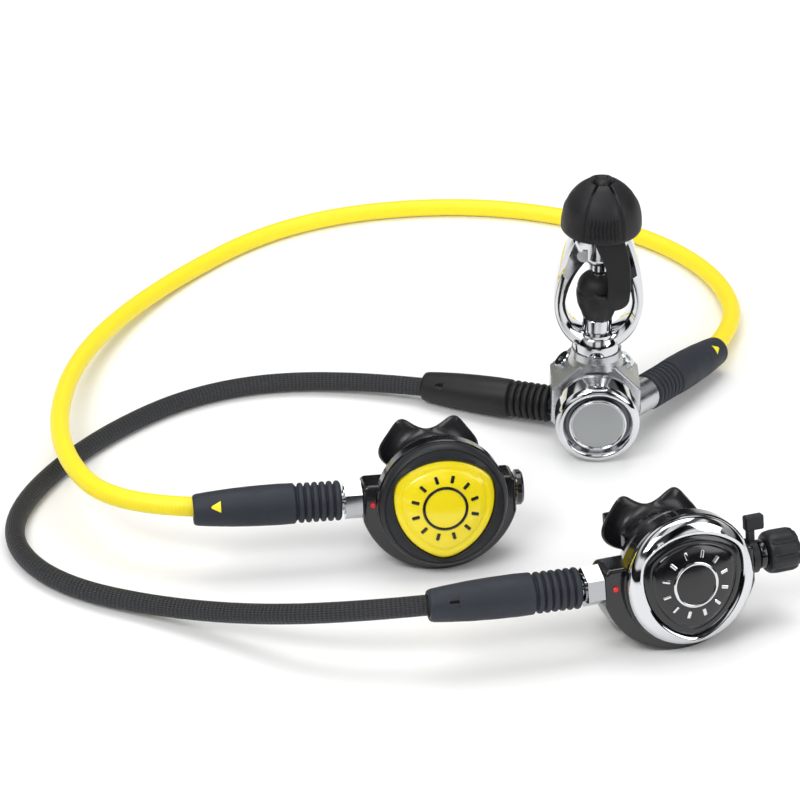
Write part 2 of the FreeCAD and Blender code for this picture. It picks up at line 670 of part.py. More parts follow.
def adjuster_spindle(stage):
    shape = rod(4.4, barrel_point(26), X_AXIS, 10)
    return shape.cut(hexagon(4.4, barrel_point(29), X_AXIS, 9))


def adjuster_knob(stage):
    """Stem, glossy neck and an eight-lobed grip."""
    neck = stage.right + 4.8
    grip = neck + 4.4
    shape = rod(1.8, barrel_point(31.5), X_AXIS, neck - 31)
    shape = shape.fuse(turned([(0, 0), (7.0, 0), (7.6, 1.0), (7.6, 4.6), (0, 4.6)],
                              barrel_point(neck), X_AXIS))
    knob = turned([(0, 0), (10.2, 0), (11.4, 1.4), (11.2, 15.4), (9.8, 17.2), (0, 17.8)],
                  barrel_point(grip), X_AXIS)
    for i in range(8):
        angle = math.radians(45 * i)
        spot = barrel_point(grip + 2.5) + V(0, math.cos(angle), math.sin(angle)) * 12.6
        knob = knob.cut(rod(2.6, spot, X_AXIS, 20))
    return shape.fuse(knob)


def venturi_lever(stage):
    """Collar round the barrel with a short arm and a ridged thumb paddle."""
    base = stage.right + 0.2
    collar = pipe(9.2, BARREL_R + RUN, barrel_point(base), X_AXIS, 3.4)
    arm = Part.makeBox(3.4, 4.0, 8.0, barrel_point(base) + V(0, -2.0, 7.5))
    paddle = Part.makeBox(10.5, 5.0, 8.0, barrel_point(base) + V(-1.5, -2.5, 14.0))
    paddle = rounded(paddle, 1.2, lambda e: True)
    return collar.fuse(arm).fuse(paddle)


def exhaust_valve(stage):
    disc = turned([(0, 0.1), (EXHAUST_R + 1.2, 0.1), (EXHAUST_R + 1.2, 0.7), (2.4, 1.1), (0, 1.1)],
                  V(0, CASE_DEPTH, EXHAUST_Z), Y_AXIS)
    stem = rod(1.2, V(0, CASE_DEPTH - 4.2, EXHAUST_Z), Y_AXIS, 4.6)
    bead = Part.makeSphere(1.9, V(0, CASE_DEPTH - 4.3, EXHAUST_Z))
    return disc.fuse(stem).fuse(bead)


def tee_duct(offset, half_width):
    """Duct section across the back of the case, run along X."""
    top = -5.2 - offset
    bottom = -28.5 + offset
    front = CASE_DEPTH + 0.1 + offset
    back = CASE_DEPTH + 12.5 - offset
    points = [V(-half_width, front, top), V(-half_width, back - 4, top),
              V(-half_width, back, top - 6), V(-half_width, back, bottom + 6),
              V(-half_width, back - 5, bottom), V(-half_width, front, bottom)]
    return Part.Face(Part.makePolygon(points + [points[0]])).extrude(V(2 * half_width, 0, 0))


def exhaust_tee(stage):
    shell = tee_duct(0, 31.0).cut(tee_duct(1.7, 33.0))
    window = rod(EXHAUST_R + 1.8, V(0, CASE_DEPTH - 1, EXHAUST_Z), Y_AXIS, 5)
    return shell.cut(window)


def mouthpiece(stage):
    """Silicone sleeve, duct, lip shield and two bite tabs."""
    root = CASE_DEPTH + 1.0
    sleeve = oval_y(33.4, 21.6, MOUTH_Z, root, CASE_DEPTH + 12)
    duct = oval_y(29, 17, MOUTH_Z, CASE_DEPTH + 12, CASE_DEPTH + 26)
    shield = oval_y(54, 26, MOUTH_Z, CASE_DEPTH + 23, CASE_DEPTH + 26)
    solid = sleeve.fuse(duct).fuse(shield)
    for side in (-1, 1):
        horn = oval_y(24, 24, MOUTH_Z + 5, CASE_DEPTH + 23, CASE_DEPTH + 26)
        horn.translate(V(side * 14, 0, 0))
        solid = solid.fuse(horn)
        neck = Part.makeBox(7, 10, 3.0, V(side * 17 - 3.5, CASE_DEPTH + 25.5, MOUTH_Z - 1.5))
        pad = Part.makeBox(8, 3, 11.0, V(side * 17 - 4, CASE_DEPTH + 35, MOUTH_Z - 5.5))
        solid = solid.fuse(neck).fuse(rounded(pad, 1.2, lambda e: True))
    solid = solid.cut(oval_y(29.1, 18.1, MOUTH_Z, root - 1, CASE_DEPTH + 11.1))
    return solid.cut(oval_y(24, 12.5, MOUTH_Z, CASE_DEPTH + 10, CASE_DEPTH + 28))


def mouthpiece_tie(stage):
    band = oval_y(35.8, 24.0, MOUTH_Z, CASE_DEPTH + 4, CASE_DEPTH + 8)
    band = band.cut(oval_y(33.5, 21.7, MOUTH_Z, CASE_DEPTH + 3, CASE_DEPTH + 9))
    head = Part.makeBox(5.0, 5.0, 6.0, V(-22.0, CASE_DEPTH + 3.5, MOUTH_Z - 3))
    return band.fuse(head)


def coupling_nut(stage):
    nut = hexagon(NUT_FLATS, barrel_point(-stage.reach - 0.1), -X_AXIS, NUT_LENGTH)
    collar = rod(7.4, barrel_point(-stage.reach - 0.1), -X_AXIS, NUT_LENGTH + 0.6)
    bore = rod(BARREL_R + GAP, barrel_point(-stage.reach + 1), -X_AXIS, NUT_LENGTH + 4)
    return nut.fuse(collar).cut(bore)


STAGE_PIECES = [
    ("case", case), ("cover_ring", cover_ring), ("purge_cover", purge_cover),
    ("diaphragm", diaphragm), ("demand_lever", demand_lever), ("valve_tube", valve_tube),
    ("orifice", orifice), ("poppet", poppet), ("poppet_spring", poppet_spring),
    ("exhaust_valve", exhaust_valve), ("exhaust_tee", exhaust_tee), ("mouthpiece", mouthpiece),
    ("mouthpiece_tie", mouthpiece_tie), ("coupling_nut", coupling_nut), ("lock_pin", lock_pin),
]
PRIMARY_ONLY = [
    ("adjuster_knob", adjuster_knob), ("adjuster_spindle", adjuster_spindle),
    ("venturi_lever", venturi_lever),
]
OCTOPUS_ONLY = [("octopus_end_plug", octopus_end_plug)]


def save(name, shape):
    solids = Part.makeCompound(shape.Solids)
    bad = [s for s in shape.Solids if not s.isValid()]
    if bad or not shape.Solids:
        print("CHECK", name, "solids", len(shape.Solids), "invalid", len(bad))
    target = shape.Solids[0] if len(shape.Solids) == 1 else solids
    target.exportStep("parts/%s.step" % name)


def save_stage(stage, pieces):
    floor = Part.makeBox(400, 400, 60, V(-200, -400, -60))
    for name, make in pieces:
        shape = make(stage)
        shape.Placement = stage.placement.multiply(shape.Placement)
        if name == "case":
            shape = shape.cut(floor)
        full = name if name.startswith(stage.name) else stage.name + "_" + name
        save(full, shape)


def main():
    os.makedirs("parts", exist_ok=True)
    for make in (first_stage_body, port_plugs, spring_cap, cap_disc, adjusting_ring, main_spring,
                 spring_pad, pressure_diaphragm, valve_pin, high_pressure_valve, balance_spring,
                 rear_plug, inlet_filter, yoke_retainer, yoke, screw_pad, yoke_screw, yoke_knob,
                 dust_cap, dust_cap_strap):
        save(make.__name__, make())
    save("primary_hose", hose(primary_route(), "primary_hose"))
    save("octopus_hose", hose(octopus_route(), "octopus_hose"))
    save("hose_inlet_ends", Part.makeCompound([hose_inlet_end(PRIMARY_PORT),
                                               hose_inlet_end(OCTOPUS_PORT)]))
    save("hose_outlet_ends", Part.makeCompound([hose_outlet_end(PRIMARY),
                                                hose_outlet_end(OCTOPUS)]))
    for stage, port in ((PRIMARY, PRIMARY_PORT), (OCTOPUS, OCTOPUS_PORT)):
        save(stage.name + "_protectors", Part.makeCompound([
            protector(port.point(port.sleeve), port.way),
            protector(along(stage.joint_centre(), stage.hose_way, 1.0), stage.hose_way)]))
    save_stage(PRIMARY, STAGE_PIECES + PRIMARY_ONLY)
    save_stage(OCTOPUS, STAGE_PIECES + OCTOPUS_ONLY)


main()
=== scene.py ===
import json
import math

import bmesh
import bpy
from mathutils import Matrix, Vector

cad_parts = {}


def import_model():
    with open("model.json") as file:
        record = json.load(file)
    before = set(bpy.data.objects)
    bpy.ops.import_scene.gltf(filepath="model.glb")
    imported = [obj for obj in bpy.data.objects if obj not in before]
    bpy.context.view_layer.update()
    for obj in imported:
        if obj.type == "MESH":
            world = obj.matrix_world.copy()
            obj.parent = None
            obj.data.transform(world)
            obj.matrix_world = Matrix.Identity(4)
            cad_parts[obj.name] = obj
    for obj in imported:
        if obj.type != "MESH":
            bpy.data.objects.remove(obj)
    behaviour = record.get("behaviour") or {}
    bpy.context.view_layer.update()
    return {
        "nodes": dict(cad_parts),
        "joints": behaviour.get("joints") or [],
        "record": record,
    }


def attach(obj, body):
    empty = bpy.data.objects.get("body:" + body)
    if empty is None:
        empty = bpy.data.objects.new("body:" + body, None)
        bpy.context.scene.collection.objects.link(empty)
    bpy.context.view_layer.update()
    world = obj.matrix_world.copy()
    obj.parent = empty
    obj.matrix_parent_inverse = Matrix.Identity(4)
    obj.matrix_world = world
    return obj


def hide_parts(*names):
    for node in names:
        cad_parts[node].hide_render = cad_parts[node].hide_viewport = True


# A scuba regulator set: yoke first stage, primary and octopus second stages, two hoses.
# Lengths inside the shape functions are millimetres in a local frame; MM brings them to metres.

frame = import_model()

MM = 0.001
WORLD = Matrix.Scale(MM, 4)

# The hoses' sizes and routes are in metres, as the frame's are.
HOSE_DIAMETER = 0.0107
HOSE_STEP = 0.0016              # between the tube's rings
HOSE_SIDES = 40
TAIL_LENGTH = 0.036             # crimped ferrule, from the protector's foot to the hose's end
SWIVEL_GAP = 0.001              # from the swivel's centre to the outlet protector's foot

PRIMARY_ROUTE = [
    (-0.0570, 0.0206, 0.0120), (-0.1312, 0.0501, 0.0066), (-0.2220, 0.0420, 0.0053),
    (-0.2900, -0.0220, 0.0053), (-0.3270, -0.1030, 0.0053), (-0.2980, -0.1600, 0.0053),
    (-0.2190, -0.1920, 0.0080), (-0.1322, -0.2335, 0.0363), (-0.0540, -0.2169, 0.0363),
]
OCTOPUS_ROUTE = [
    (0.0515, 0.0390, 0.0165), (0.0929, 0.0950, 0.0091), (0.0880, 0.1800, 0.0053),
    (0.0320, 0.2430, 0.0053), (-0.0680, 0.2760, 0.0053), (-0.1820, 0.2510, 0.0053),
    (-0.2620, 0.1600, 0.0053), (-0.3030, 0.0520, 0.0170), (-0.3010, -0.0680, 0.0310),
    (-0.2560, -0.1425, 0.0366), (-0.1766, -0.1327, 0.0366),
]

# Places in a second stage's own frame: X to its right, Y from the cover to the mouth, Z up.
LEVER_PIVOT = Vector((8.0, 7.4, 1.0))
BARREL_Y = 13.0
BARREL_Z = 1.0


# ---- places ----
def joint(name):
    return next(j for j in frame["joints"] if j["name"] == name)


def stage_place(stage):
    """Local frame of a second stage, from its swivel, its purge cover and its lever."""
    x = Vector(joint(stage + "_swivel")["axis"]).normalized()
    y = Vector(joint(stage + "_purge_press")["axis"]).normalized()
    z = x.cross(y)
    turn = Matrix((x, y, z)).transposed()
    origin = Vector(joint(stage + "_lever_tilt")["pos_m"]) - turn @ LEVER_PIVOT * MM
    return Matrix.Translation(origin) @ turn.to_4x4() @ WORLD


def facing(base, way):
    """Frame in millimetres whose Z runs along way, from a base in metres."""
    turn = Vector(way).to_track_quat("Z", "Y").to_matrix().to_4x4()
    return Matrix.Translation(base) @ turn @ WORLD


def barrel_place(stage, x):
    """Frame on a stage's barrel axis, Z pointing to the stage's right."""
    turn = Matrix(((0, 0, 1), (1, 0, 0), (0, 1, 0))).to_4x4()
    return stage_place(stage) @ Matrix.Translation((x, BARREL_Y, BARREL_Z)) @ turn


# ---- meshes ----
def smooth_shade(mesh, sharp):
    """Smooth every face, but keep edges sharper than so many degrees."""
    mesh.polygons.foreach_set("use_smooth", [True] * len(mesh.polygons))
    mesh.set_sharp_from_angle(angle=math.radians(sharp))


def piece(name, points, faces, place, body, slot, replaces=(), material=None, sharp=38.0):
    """One visible piece riding a body; it wears its slot's material unless another is given."""
    mesh = bpy.data.meshes.new(name)
    mesh.from_pydata([place @ Vector(p) for p in points], [], faces)
    work = bmesh.new()
    work.from_mesh(mesh)
    bmesh.ops.remove_doubles(work, verts=work.verts, dist=1e-6)
    bmesh.ops.recalc_face_normals(work, faces=work.faces)
    work.to_mesh(mesh)
    work.free()
    mesh.materials.append(material or MATERIALS[slot])
    smooth_shade(mesh, sharp)
    made = bpy.data.objects.new(name, mesh)
    bpy.context.scene.collection.objects.link(made)
    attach(made, body)
    if replaces:
        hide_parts(*replaces)
    return made


def skin(rings, caps=False, closed=True):
    """Quads between rings of equal length; caps close the first and the last ring."""
    count = len(rings[0])
    points = [p for ring in rings for p in ring]
    faces = []
    for a in range(len(rings) - 1):
        b = a + 1
        for i in range(count if closed else count - 1):
            j = (i + 1) % count
            faces.append((a * count + i, a * count + j, b * count + j, b * count + i))
    if caps:
        faces.append(tuple(range(count)))
        faces.append(tuple(range((len(rings) - 1) * count, len(rings) * count)))
    return points, faces


def join(points, faces, rings, **how):
    """Add the skin of more rings to the points and faces of a mesh."""
    start = len(points)
    more, quads = skin(rings, **how)
    points += more
    faces += [tuple(start + i for i in quad) for quad in quads]


def angles(count):
    """Even angles once round, in radians."""
    return [2 * math.pi * i / count for i in range(count)]


def softened(profile, radius, steps=3):
    """Round the inner corners of an open (radius, height) profile."""
    corners = [Vector(p) for p in profile]
    out = [corners[0]]
    for before, corner, after in zip(corners, corners[1:], corners[2:]):
        back = before - corner
        ahead = after - corner
        cut = min(radius, back.length * 0.45, ahead.length * 0.45)
        start = corner + back.normalized() * cut
        end = corner + ahead.normalized() * cut
        for i in range(steps + 1):
            t = i / steps
            out.append(start * (1 - t) ** 2 + corner * (2 * t * (1 - t)) + end * t * t)
    out.append(corners[-1])
    return out


def lathe(profile, segments):
    """Rings of a (radius, height) profile about Z."""
    return [[(r * math.cos(a), r * math.sin(a), z) for a in angles(segments)] for r, z in profile]


def turned(name, profile, segments, place, body, slot, replaces=(), material=None, sharp=38.0):
    """A piece turned about its place's Z."""
    points, faces = skin(lathe(profile, segments))
    return piece(name, points, faces, place, body, slot, replaces, material, sharp)


def turn_to_y(rings):
    """Swing rings made about Z so that they stand about Y, height along +Y."""
    return [[(x, z, -y) for x, y, z in ring] for ring in rings]


def smooth_path(points, steps):
    """Catmull-Rom curve through points of any dimension."""
    out = []
    padded = [points[0]] + list(points) + [points[-1]]
    for a, b, c, d in zip(padded, padded[1:], padded[2:], padded[3:]):
        for i in range(steps):
            t = i / steps
            out.append(tuple(0.5 * (2 * q + (r - p) * t + (2 * p - 5 * q + 4 * r - s) * t * t
                                    + (3 * q - p - 3 * r + s) * t ** 3)
                             for p, q, r, s in zip(a, b, c, d)))
    out.append(tuple(points[-1]))
    return out


def smooth_step(value, start, end):
    """Rise from 0 to 1 between start and end."""
    t = min(1.0, max(0.0, (value - start) / (end - start)))
    return t * t * (3 - 2 * t)


# ---- material nodes ----
class Shader:
    """A Principled material with small helpers for its procedural inputs."""

    def __init__(self, name, color, rough, **plain):
        self.material = bpy.data.materials.new(name)
        self.material.use_nodes = True
        self.tree = self.material.node_tree
        self.main = self.tree.nodes["Principled BSDF"]
        self.main.inputs["Base Color"].default_value = (*color, 1.0)
        self.main.inputs["Roughness"].default_value = rough
        for key, value in plain.items():
            self.main.inputs[key.replace("_", " ")].default_value = value

    def node(self, kind, **settings):
        made = self.tree.nodes.new(kind)
        for key, value in settings.items():
            setattr(made, key, value)
        return made

    def link(self, source, target):
        self.tree.links.new(source, target)

    def noise(self, scale, detail=3.0):
        place = self.node("ShaderNodeTexCoord")
        made = self.node("ShaderNodeTexNoise")
        made.inputs["Scale"].default_value = scale
        made.inputs["Detail"].default_value = detail
        self.link(place.outputs["Object"], made.inputs["Vector"])
        return made.outputs["Fac"]

    def math(self, operation, *values):
        made = self.node("ShaderNodeMath", operation=operation)
        for socket, value in zip(made.inputs, values):
            if isinstance(value, (int, float)):
                socket.default_value = value
            else:
                self.link(value, socket)
        return made.outputs[0]

    def spread(self, source, low, high, start=0.3, end=0.7):
        """Stretch the source's values between start and end over low to high."""
        made = self.node("ShaderNodeMapRange")
        made.inputs["From Min"].default_value = start
        made.inputs["From Max"].default_value = end
        made.inputs["To Min"].default_value = low
        made.inputs["To Max"].default_value = high
        self.link(source, made.inputs["Value"])
        return made.outputs["Result"]

    def mix(self, share, first, second):
        """Mix two colours; a Mix node's sockets 6 and 7 in and 2 out are its colours."""
        made = self.node("ShaderNodeMix", data_type="RGBA")
        made.inputs[6].default_value = (*first, 1.0)
        made.inputs[7].default_value = (*second, 1.0)
        self.link(share, made.inputs[0])
        return made.outputs[2]

    def rough_from(self, source, low, high):
        self.link(self.spread(source, low, high), self.main.inputs["Roughness"])

    def color_from(self, source, first, second):
        self.link(self.mix(source, first, second), self.main.inputs["Base Color"])

    def bump_from(self, source, distance):
        made = self.node("ShaderNodeBump")
        made.inputs["Distance"].default_value = distance
        made.inputs["Strength"].default_value = 1.0
        self.link(source, made.inputs["Height"])
        self.link(made.outputs["Normal"], self.main.inputs["Normal"])


def darker(color, share):
    return tuple(c * share for c in color)


def metal(name, color, rough_low, rough_high, grain=0.0, grain_scale=2500.0):
    """Plated or plain metal: cloudy roughness, faint tint changes and an optional blast grain."""
    made = Shader(name, color, rough_high, Metallic=1.0)
    made.rough_from(made.noise(45.0), rough_low, rough_high)
    made.color_from(made.spread(made.noise(18.0), 0.0, 1.0), darker(color, 0.93), color)
    if grain:
        made.bump_from(made.noise(grain_scale, 4.0), grain)
    return made.material


def moulded(name, color, rough_low, rough_high, grain, scale=1800.0, vary=0.8, **plain):
    """Moulded rubber or plastic: fine surface grain, patchy sheen and slight colour change."""
    made = Shader(name, color, rough_high, **plain)
    made.rough_from(made.noise(70.0, 5.0), rough_low, rough_high)
    made.color_from(made.spread(made.noise(32.0, 4.0), 0.0, 1.0), darker(color, vary), color)
    made.bump_from(made.noise(scale, 4.0), grain)
    return made.material


def braided(name, light, dark, rough, strands, pitch, depth):
    """Diamond braid laid by the tube's UV: U once round, V in metres along; its colour darkens in
    the weave's dips as painted shade.
    """
    made = Shader(name, light, rough)
    uv = made.node("ShaderNodeUVMap", uv_map="UVMap")
    parts = made.node("ShaderNodeSeparateXYZ")
    made.link(uv.outputs["UV"], parts.inputs[0])
    around = made.math("MULTIPLY", parts.outputs["X"], float(strands))
    along = made.math("MULTIPLY", parts.outputs["Y"], 1.0 / pitch)
    right = made.math("ADD", around, along)
    left = made.math("SUBTRACT", around, along)
    turn = 2 * math.pi
    threads_a_strand = 3
    thread_height = 0.25

    def sine(source, waves):
        return made.math("SINE", made.math("MULTIPLY", source, turn * waves))

    over = made.math("MULTIPLY", sine(right, 1), sine(left, 1))
    threads = made.math("ABSOLUTE", sine(right, threads_a_strand))
    height = made.math("ADD", over, made.math("MULTIPLY", threads, thread_height))
    # The colour darkens where the weave dips: painted shade in the braid's hollows.
    made.color_from(made.spread(over, 0.0, 1.0, -0.7, 0.8), dark, light)
    made.bump_from(height, depth)
    return made.material


MATERIALS = {
    "polished_chrome": metal("polished_chrome", (0.70, 0.71, 0.73), 0.03, 0.08),
    "satin_chrome": metal("satin_chrome", (0.57, 0.58, 0.60), 0.22, 0.34, 0.00004),
    "charcoal_rubber": moulded("charcoal_rubber", (0.026, 0.031, 0.042), 0.5, 0.68, 0.00008,
                               Specular_IOR_Level=0.35),
    # The second, near-black colour is painted shade in the weave's hollows.
    "black_braid": braided("black_braid", (0.030, 0.032, 0.038), (0.003, 0.003, 0.004),
                           0.5, 14, 0.0046, 0.00025),
    # The second, deeper yellow is painted shade in the weave's hollows.
    "yellow_hose": braided("yellow_hose", (0.97, 0.80, 0.012), (0.94, 0.76, 0.010),
                           0.45, 16, 0.0042, 0.00003),
    "matte_black_plastic": moulded("matte_black_plastic", (0.014, 0.015, 0.018), 0.38, 0.52,
                                   0.00006, Specular_IOR_Level=0.4),
    "gloss_black_plastic": moulded("gloss_black_plastic", (0.007, 0.007, 0.009), 0.08, 0.20,
                                   0.00002, 900.0, Coat_Weight=0.3),
    "yellow_plastic": moulded("yellow_plastic", (0.95, 0.77, 0.010), 0.14, 0.22, 0.00001,
                              900.0, 0.97, Coat_Weight=0.4),
    "black_silicone": moulded("black_silicone", (0.010, 0.010, 0.012), 0.22, 0.38, 0.00004),
    "clear_silicone": moulded("clear_silicone", (0.62, 0.63, 0.62), 0.3, 0.4, 0.00003),
    "plated_brass": metal("plated_brass", (0.72, 0.62, 0.40), 0.15, 0.28),
    "spring_steel": metal("spring_steel", (0.56, 0.56, 0.57), 0.2, 0.3),
    "sintered_bronze": metal("sintered_bronze", (0.55, 0.38, 0.18), 0.5, 0.7, 0.0002, 1200.0),
    "red_plastic": moulded("red_plastic", (0.75, 0.012, 0.015), 0.12, 0.2, 0.00002),
}

# Finishes that share a slot with another one.
BLACK_RUBBER = moulded("black_rubber", (0.009, 0.009, 0.011), 0.42, 0.6, 0.0001, vary=0.6,
                       Specular_IOR_Level=0.4)
SATIN_DISC = metal("satin_disc", (0.36, 0.38, 0.38), 0.3, 0.42, 0.00003)
NUT_CHROME = metal("nut_chrome", (0.46, 0.47, 0.49), 0.05, 0.14)
# Near-black chrome for the cap's groove: painted shade standing in for the shadow in that recess.
PAINTED_SHADE_CHROME = metal("painted_shade_chrome", (0.10, 0.10, 0.11), 0.12, 0.25)

CAD_SHARP = 28                  # degrees at which a CAD node's edge stays sharp
SLOT_OF = {row["node"]: row["material_slot"] for row in frame["record"]["subparts"]}


def dress(node):
    """Give a CAD node its own slot's material and shade its round faces smooth.

    Nuts and hose ends are a duller chrome.
    """
    mesh = frame["nodes"][node].data
    smooth_shade(mesh, CAD_SHARP)
    mesh.materials.clear()
    dull = node.endswith("_nut") or node.startswith("hose_")
    mesh.materials.append(NUT_CHROME if dull else MATERIALS[SLOT_OF[node]])


# ---- hoses ----
def route_line(name, route):
    """Points along the smooth NURBS line whose control points are the route."""
    curve = bpy.data.curves.new(name + "_line", "CURVE")
    curve.dimensions = "3D"
    spline = curve.splines.new("NURBS")
    spline.points.add(len(route) - 1)
    for point, place in zip(spline.points, route):
        point.co = (*place, 1.0)
    spline.order_u = 3
    spline.use_endpoint_u = True
    spline.resolution_u = 48
    holder = bpy.data.objects.new(name + "_line", curve)
    bpy.context.scene.collection.objects.link(holder)
    bpy.context.view_layer.update()
    mesh = bpy.data.meshes.new_from_object(holder)
    points = [v.co.copy() for v in mesh.vertices]
    bpy.data.objects.remove(holder)
    bpy.data.meshes.remove(mesh)
    return points


def even(points, step):
    """The same line with its points about step apart."""
    lengths = [0.0]
    for a, b in zip(points, points[1:]):
        lengths.append(lengths[-1] + (b - a).length)
    count = max(2, round(lengths[-1] / step))
    out = []
    k = 0
    for i in range(count + 1):
        want = lengths[-1] * i / count
        while k < len(points) - 2 and lengths[k + 1] < want:
            k += 1
        share = (want - lengths[k]) / max(lengths[k + 1] - lengths[k], 1e-9)
        out.append(points[k].lerp(points[k + 1], min(1.0, share)))
    return out, lengths[-1]


def lay_braid(mesh, length, ring_gaps):
    """UV for a tube of rings: U once round, V in metres along."""
    layer = mesh.uv_layers.new(name="UVMap")
    for polygon in mesh.polygons:
        corners = [mesh.loops[k].vertex_index for k in polygon.loop_indices]
        wraps = len({c % HOSE_SIDES for c in corners} & {0, HOSE_SIDES - 1}) == 2
        for k, corner in zip(polygon.loop_indices, corners):
            around = corner % HOSE_SIDES
            if wraps and around == 0:
                around = HOSE_SIDES
            along = corner // HOSE_SIDES * length / ring_gaps
            layer.data[k].uv = (around / HOSE_SIDES, along)


def hose(name, route, material):
    """Round tube along a route."""
    line, length = even(route_line(name, route), HOSE_STEP)
    ways = [(b - a).normalized() for a, b in zip(line, line[1:])]
    ways.append(ways[-1])
    side = Vector((0, 0, 1)).cross(ways[0]).normalized()
    rings = []
    for point, way in zip(line, ways):
        side = (side - way * side.dot(way)).normalized()
        up = way.cross(side)
        rings.append([point + (side * math.cos(a) + up * math.sin(a)) * (HOSE_DIAMETER / 2)
                      for a in angles(HOSE_SIDES)])
    points, faces = skin(rings, caps=True)
    mesh = bpy.data.meshes.new(name + "_tube")
    mesh.from_pydata(points, [], faces)
    lay_braid(mesh, length, len(line) - 1)
    mesh.materials.append(material)
    smooth_shade(mesh, 40)
    made = bpy.data.objects.new(name + "_tube", mesh)
    bpy.context.scene.collection.objects.link(made)
    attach(made, "first_stage")
    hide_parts(name)


# A hose protector in millimetres, with its lengths from the fitting end.
PROTECTOR_LENGTH = 78.5
RIB_COUNT = 6
RIB_PITCH = 3.9
ARROW_FOOT = 64.0
ARROW_LENGTH = 6.0
ARROW_HALF = 3.1
ARROW_FOOT_R = 9.9              # just proud of the sleeve, which narrows towards the tip
ARROW_NARROWING = 0.75


def protector_profile():
    """Outline from the fitting end: rounded ribs, a long swelling grip, a blunt mouth."""
    profile = [(7.0, 0.0), (9.0, 0.0)]
    for i in range(RIB_COUNT):
        foot = 0.5 + i * RIB_PITCH
        profile += [(10.2, foot + 0.2), (10.7, foot + 1.0), (10.7, foot + 2.0), (10.2, foot + 2.8),
                    (8.9, foot + 3.1), (8.9, foot + 3.7)]
    profile += [(9.6, 24.2), (10.8, 25.0), (11.0, 33.0), (10.8, 45.0), (10.2, 58.0),
                (9.2, 70.0), (8.5, 76.4), (8.0, 77.9), (7.2, PROTECTOR_LENGTH),
                (5.5, PROTECTOR_LENGTH), (5.5, PROTECTOR_LENGTH - 6)]
    return softened(profile, 0.5, 2)


def arrow_marker(node, base, way, name, material):
    """Small triangular patch let into the sleeve near its mouth, pointing at the hose."""
    way = Vector(way)
    side = way.cross(Vector((0, -0.8, 0.6))).normalized()
    up = side.cross(way).normalized()
    rows = []
    for share in (0.0, 0.25, 0.5, 0.75, 1.0):
        along = ARROW_FOOT + ARROW_LENGTH * share
        half = ARROW_HALF * (1 - share)
        radius = ARROW_FOOT_R - ARROW_NARROWING * share
        row = []
        for i in range(7):
            across = half * (i / 3 - 1)
            lift = math.sqrt(radius ** 2 - across ** 2)
            row.append(Vector(base) + (way * along + side * across + up * lift) * MM)
        rows.append(row)
    points, faces = skin(rows, closed=False)
    return piece(name, points, faces, Matrix.Identity(4), "first_stage", SLOT_OF[node],
                 material=material)


def protector(name, node, base, way, rubber, mark_material):
    """Ribbed sleeve over a hose's end, with its arrow."""
    made = turned(name, protector_profile(), 72, facing(base, way), "first_stage", SLOT_OF[node],
                  [node], rubber, 50.0)
    return [made, arrow_marker(node, base, way, name + "_arrow", mark_material)]


def hoses():
    """Both hoses, each with a sleeve at either end."""
    charcoal = MATERIALS["charcoal_rubber"]
    for name, route, slot, inlet_rubber, mark in (
            ("primary", PRIMARY_ROUTE, "black_braid", BLACK_RUBBER, "gloss_black_plastic"),
            ("octopus", OCTOPUS_ROUTE, "yellow_hose", charcoal, "yellow_hose")):
        points = [Vector(p) for p in route]
        leaving = (points[1] - points[0]).normalized()
        arriving = (points[-2] - points[-1]).normalized()
        node = name + "_protectors"
        pieces = protector(name + "_inlet_protector", node, points[0] - leaving * TAIL_LENGTH,
                           leaving, inlet_rubber, MATERIALS[mark])
        foot = points[-1] - arriving * (TAIL_LENGTH - SWIVEL_GAP)
        pieces += protector(name + "_outlet_protector", node, foot, arriving, charcoal,
                            MATERIALS[mark])
        hose(name + "_hose", route, MATERIALS[slot])


# ---- first stage, heights above the table in millimetres ----
CAP_AXIS_Z = 25.0
YOKE_BOTTOM = 56.5
WINDOW_FLOOR = 66.5
SEAT_TOP = 77.0
YOKE_WIDEST = 88.0
YOKE_CENTRE_Z = 90.0
WINDOW_TOP = 117.0
YOKE_TOP = 131.0
KNOB_RIM = 132.0

# The yoke's and its window's half widths at their widest and at their tops
YOKE_HALF = 25.0
YOKE_TOP_HALF = 14.5
WINDOW_HALF = 18.5
WINDOW_TOP_HALF = 5.0
YOKE_HALF_DEPTH = 8.0
SHOULDER_BOW = 0.72             # share of the narrowing that is still to come half way up

# The knob's relief, with angles in degrees from a sunk facet's middle
FACET_DEPTH = 0.9
GROOVE_ANGLE = 29.5
GROOVE_DEPTH = 1.25
RIB_HEIGHT = 0.5
RIBS_PER_RADIAN = 62.0

# The knob's outline as radius and height over the rim
KNOB_LIP = [
    (17.0, 7.0), (19.4, 3.6), (19.6, 0.4), (20.0, 0.0), (20.8, 0.0), (21.7, 0.4), (22.2, 1.2),
]
KNOB_PROFILE = [
    (22.4, 2.6), (22.4, 5.0), (22.1, 8.5), (21.4, 12.5), (20.0, 16.8), (17.8, 20.6),
    (14.8, 24.0), (11.6, 26.6), (8.9, 28.2), (7.0, 28.7), (5.4, 28.0), (4.4, 26.0),
]


def knob_bell(bell, h, a):
    """Point of the bell at a plain radius, a height over the rim and an angle."""
    turn = (math.degrees(a) + 90.0 + 60.0) % 120.0 - 60.0
    off = abs(turn)
    sunk = 1 - smooth_step(off, 24.0, 29.0)
    groove = math.exp(-((off - GROOVE_ANGLE) / (1.6 + 14.0 / bell)) ** 2)
    cut = (FACET_DEPTH * sunk + GROOVE_DEPTH * groove) * smooth_step(h, 1.0, 3.5)
    wave = math.sin(math.radians(turn) * RIBS_PER_RADIAN + 0.9 * math.sin(h * 0.9))
    ribbed = sunk * smooth_step(h, 1.8, 4.0) * (1 - smooth_step(h, 13.0, 16.0))
    narrow = 1 - smooth_step(off, 22.0, 25.0)
    r = max(1.4, bell - cut * min(1, bell / 6) + RIB_HEIGHT * wave * ribbed * narrow)
    sag = 1.6 * groove * smooth_step(h, 24.0, 28.0)
    return (r * math.cos(a), r * math.sin(a), KNOB_RIM + h - sag)


